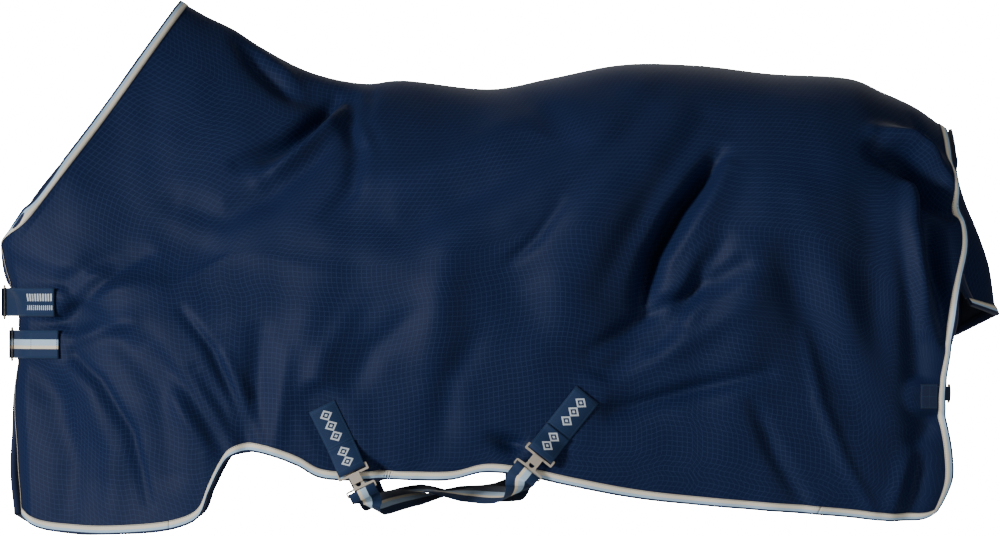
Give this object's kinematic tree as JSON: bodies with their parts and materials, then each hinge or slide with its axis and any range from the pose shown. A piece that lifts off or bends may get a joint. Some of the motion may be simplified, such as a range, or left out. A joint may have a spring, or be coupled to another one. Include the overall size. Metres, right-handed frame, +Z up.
{
  "type": "turnout rug",
  "caption": "Horse's turnout rug, shaped as worn, with chest clips, crossed belly surcingles, leg strap rings and a hinged tail flap.",
  "frame": {"origin": "on the lining at the withers, on the rug's middle line: where the rug rests on the horse's back", "axes": "+X from the chest towards the tail, so the horse faces -X; +Z up; +Y towards the off (right) side, so the near (left) side is -Y"},
  "size_m": [1.7679, 0.5967, 0.9417],
  "materials": {
    "outer_fabric": "matte",
    "lining_fabric": "matte",
    "binding_tape": "matte",
    "webbing": "matte",
    "black_webbing": "matte",
    "nickel": "satin"
  },
  "bodies": {
    "rug_body": {"outer_left": "outer_fabric", "outer_right": "outer_fabric", "lining_left": "lining_fabric", "lining_right": "lining_fabric", "neck_binding_left": "binding_tape", "neck_binding_right": "binding_tape", "chest_binding_left": "binding_tape", "chest_binding_right": "binding_tape", "hem_binding_left": "binding_tape", "hem_binding_right": "binding_tape", "rear_binding_left": "binding_tape", "rear_binding_right": "binding_tape", "back_tape": "binding_tape", "surcingle_front_tab": "webbing", "surcingle_front_strap": "webbing", "surcingle_front_off_tab": "webbing", "surcingle_rear_tab": "webbing", "surcingle_rear_strap": "webbing", "surcingle_rear_off_tab": "webbing", "chest_upper_tab": "webbing", "chest_upper_strap": "black_webbing", "chest_lower_tab": "webbing", "chest_lower_strap": "black_webbing", "legstrap_loop_left": "webbing", "legstrap_patch_left": "outer_fabric", "legstrap_loop_right": "webbing", "legstrap_patch_right": "outer_fabric"},
    "surcingle_front_hook_frame": {"surcingle_front_hook": "nickel"},
    "surcingle_front_plate_end": {"surcingle_front_plate": "nickel", "surcingle_front_loop": "webbing"},
    "surcingle_front_slider_frame": {"surcingle_front_slider": "nickel"},
    "surcingle_rear_hook_frame": {"surcingle_rear_hook": "nickel"},
    "surcingle_rear_plate_end": {"surcingle_rear_plate": "nickel", "surcingle_rear_loop": "webbing"},
    "surcingle_rear_slider_frame": {"surcingle_rear_slider": "nickel"},
    "chest_upper_clip": {"chest_upper_ring": "nickel", "chest_upper_snap": "nickel", "chest_upper_loop": "black_webbing"},
    "chest_upper_spring_gate": {"chest_upper_gate": "nickel"},
    "chest_lower_clip": {"chest_lower_ring": "nickel", "chest_lower_snap": "nickel", "chest_lower_loop": "black_webbing"},
    "chest_lower_spring_gate": {"chest_lower_gate": "nickel"},
    "legstrap_ring_left": {"legstrap_dee_left": "nickel"},
    "legstrap_ring_right": {"legstrap_dee_right": "nickel"},
    "tail_flap": {"tail_flap_outer": "outer_fabric", "tail_flap_lining": "lining_fabric", "tail_flap_binding": "binding_tape"}
  },
  "joints": [
    {"name": "surcingle_front_hook_swing", "type": "hinge", "parent": "rug_body", "child": "surcingle_front_hook_frame", "pos_m": [-0.05537, -0.27571, -0.67183], "axis": [-0.891, 0.1282, -0.4356], "range_deg": [0, 18]},
    {"name": "surcingle_front_plate_turn", "type": "hinge", "parent": "surcingle_front_hook_frame", "child": "surcingle_front_plate_end", "pos_m": [-0.04681, -0.27572, -0.68935], "axis": [-0.1154, -0.9918, -0.0558], "range_deg": [-8, 8]},
    {"name": "surcingle_front_slider_run", "type": "slide", "parent": "rug_body", "child": "surcingle_front_slider_frame", "axis": [0.6206, 0.0525, 0.7823], "range_m": [-0.014, 0.01]},
    {"name": "surcingle_rear_hook_swing", "type": "hinge", "parent": "rug_body", "child": "surcingle_rear_hook_frame", "pos_m": [0.27559, -0.29241, -0.64248], "axis": [-0.7841, -0.0411, 0.6193], "range_deg": [0, 18]},
    {"name": "surcingle_rear_plate_turn", "type": "hinge", "parent": "surcingle_rear_hook_frame", "child": "surcingle_rear_plate_end", "pos_m": [0.26348, -0.29139, -0.65773], "axis": [-0.0003, -0.9978, -0.0667], "range_deg": [-8, 8]},
    {"name": "surcingle_rear_slider_run", "type": "slide", "parent": "rug_body", "child": "surcingle_rear_slider_frame", "axis": [-0.4392, -0.0005, 0.8984], "range_m": [-0.014, 0.01]},
    {"name": "chest_upper_clip_swing", "type": "hinge", "parent": "rug_body", "child": "chest_upper_clip", "pos_m": [-0.67086, -0.027, -0.38106], "axis": [0, 0, 1], "range_deg": [0, 12]},
    {"name": "chest_upper_gate_hinge", "type": "hinge", "parent": "chest_upper_clip", "child": "chest_upper_spring_gate", "pos_m": [-0.66866, 0.0115, -0.38106], "axis": [0, 0, -1], "range_deg": [0, 18]},
    {"name": "chest_lower_clip_swing", "type": "hinge", "parent": "rug_body", "child": "chest_lower_clip", "pos_m": [-0.65746, -0.027, -0.45518], "axis": [0, 0, 1], "range_deg": [0, 12]},
    {"name": "chest_lower_gate_hinge", "type": "hinge", "parent": "chest_lower_clip", "child": "chest_lower_spring_gate", "pos_m": [-0.65526, 0.0115, -0.45518], "axis": [0, 0, -1], "range_deg": [0, 18]},
    {"name": "legstrap_ring_left_swing", "type": "hinge", "parent": "rug_body", "child": "legstrap_ring_left", "pos_m": [0.98629, -0.20806, -0.54044], "axis": [-0.0139, 0.0531, -0.9985], "range_deg": [-10, 95]},
    {"name": "legstrap_ring_right_swing", "type": "hinge", "parent": "rug_body", "child": "legstrap_ring_right", "pos_m": [0.98629, 0.20806, -0.54044], "axis": [0.0139, 0.0531, 0.9985], "range_deg": [-10, 95]},
    {"name": "tail_flap_lift", "type": "hinge", "parent": "rug_body", "child": "tail_flap", "pos_m": [1, 0, -0.078], "axis": [0, -1, 0], "range_deg": [0, 70]}
  ]
}
